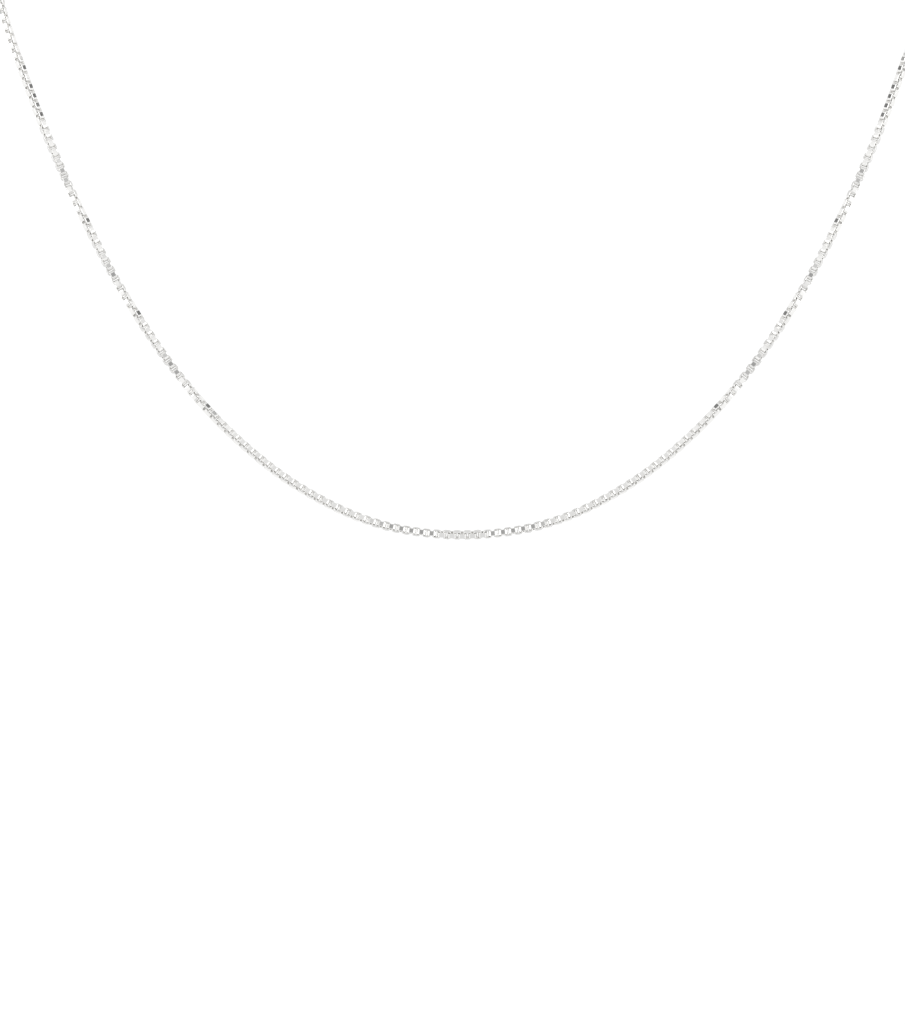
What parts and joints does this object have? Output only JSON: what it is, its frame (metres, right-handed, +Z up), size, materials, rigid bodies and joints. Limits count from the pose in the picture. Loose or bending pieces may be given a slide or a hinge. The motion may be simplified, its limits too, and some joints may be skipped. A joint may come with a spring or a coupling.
{
  "type": "box chain necklace",
  "caption": "Fine box chain necklace in the form it takes when worn, one whole loop closed at the nape by a small ring clasp.",
  "frame": {"origin": "the point at the middle of the nape where the clasp's inner side rests against the neck", "axes": "+Z up, -Y towards the front of the necklace, +X to the side where the clasp has its fixed eye, which is the right of the picture"},
  "size_m": [0.1378, 0.0942, 0.1056],
  "materials": {
    "chain_silver": "polished silver",
    "clasp_silver": "polished silver"
  },
  "bodies": {
    "root": {"chain_left": "chain_silver", "chain_right": "chain_silver", "clasp": "clasp_silver", "jump_ring_left": "clasp_silver", "jump_ring_right": "clasp_silver"}
  },
  "joints": []
}
